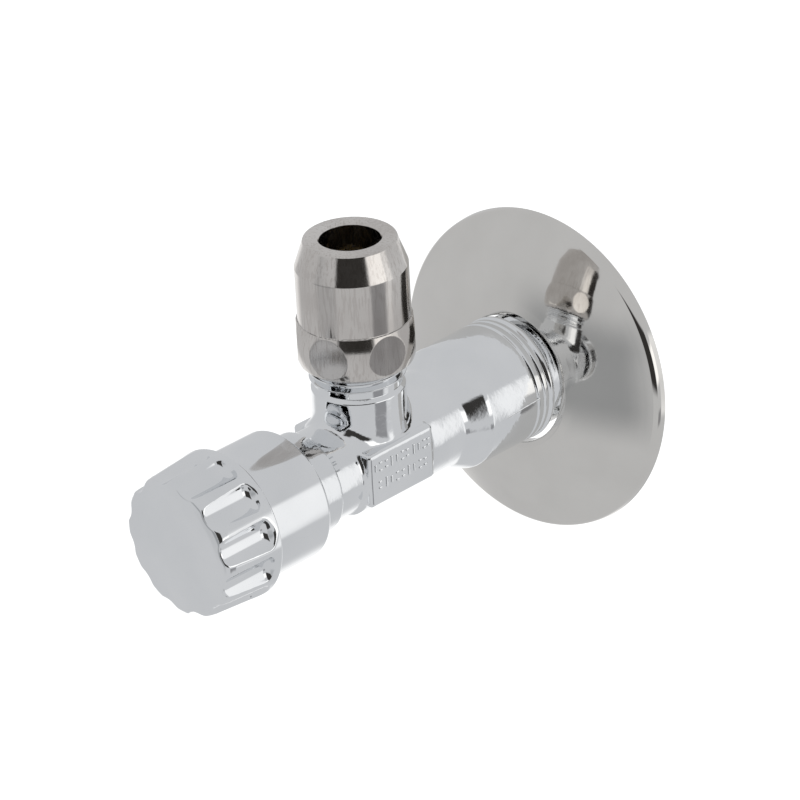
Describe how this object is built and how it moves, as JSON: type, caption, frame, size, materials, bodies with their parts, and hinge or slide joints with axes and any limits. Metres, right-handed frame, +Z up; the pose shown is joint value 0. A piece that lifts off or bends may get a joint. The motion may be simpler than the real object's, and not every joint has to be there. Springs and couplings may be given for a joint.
{
  "type": "angle stop valve",
  "caption": "Angle stop valve with a fluted knob, a compression outlet for a small tube, a threaded wall tail and a loose wall rosette.",
  "frame": {"origin": "on the inlet axis at the mouth of the wall socket, 1.3 mm in front of the finished wall that the rosette's rim closes against", "axes": "+Y along the inlet axis into the wall, so the knob faces -Y; +Z up along the outlet branch; +X to the right as the knob is looked at"},
  "size_m": [0.0588, 0.0992, 0.0714],
  "materials": {
    "chrome_body": "mirror chrome plating on a brass casting",
    "chrome_knob": "chrome-plated moulding, very smooth",
    "nickel": "bright nickel plating with fine turning marks",
    "stainless": "polished stainless sheet, softly blurred reflections",
    "brass": "bare turned brass",
    "rubber": "black EPDM rubber",
    "packing": "PTFE packing, matt white",
    "white_plastic": "moulded acetal",
    "spring_steel": "spring steel"
  },
  "bodies": {
    "valve": {"valve_body": "chrome_body", "bonnet": "chrome_body", "bonnet_o_ring": "rubber", "gland_washer": "brass", "gland_packing": "packing", "gland_nut": "brass"},
    "jumper": {"jumper": "brass", "seat_washer": "rubber", "seat_washer_nut": "brass"},
    "knob": {"spindle": "brass", "spindle_o_ring_front": "rubber", "spindle_o_ring_rear": "rubber", "knob_insert": "white_plastic", "knob_clip": "spring_steel", "knob_grip": "chrome_knob", "knob_sleeve": "chrome_knob"},
    "olive": {"olive": "brass", "thrust_ring": "brass"},
    "nut": {"compression_nut": "nickel"},
    "rosette": {"rosette": "stainless"}
  },
  "joints": [
    {"name": "spindle_lift", "type": "slide", "parent": "valve", "child": "jumper", "axis": [0, -1, 0], "range_m": [0, 0.00375]},
    {"name": "knob_turn", "type": "hinge", "parent": "jumper", "child": "knob", "pos_m": [0, -0.08, 0], "axis": [0, -1, 0], "range_deg": [0, 900]},
    {"name": "nut_lift", "type": "slide", "parent": "valve", "child": "olive", "axis": [0, 0, 1], "range_m": [0, 0.00869]},
    {"name": "nut_turn", "type": "hinge", "parent": "olive", "child": "nut", "pos_m": [0, -0.0425, 0.025], "axis": [0, 0, 1], "range_deg": [0, 2340]},
    {"name": "rosette_rock", "type": "hinge", "parent": "valve", "child": "rosette", "pos_m": [0, -0.00585, -0.0006], "axis": [0.9046, 0, -0.4263], "range_deg": [0, 5.5]}
  ],
  "couplings": [
    {"joint": "knob_turn", "follows": "spindle_lift", "rad_per_m": 4188.8},
    {"joint": "nut_turn", "follows": "nut_lift", "rad_per_m": 4699.5}
  ]
}
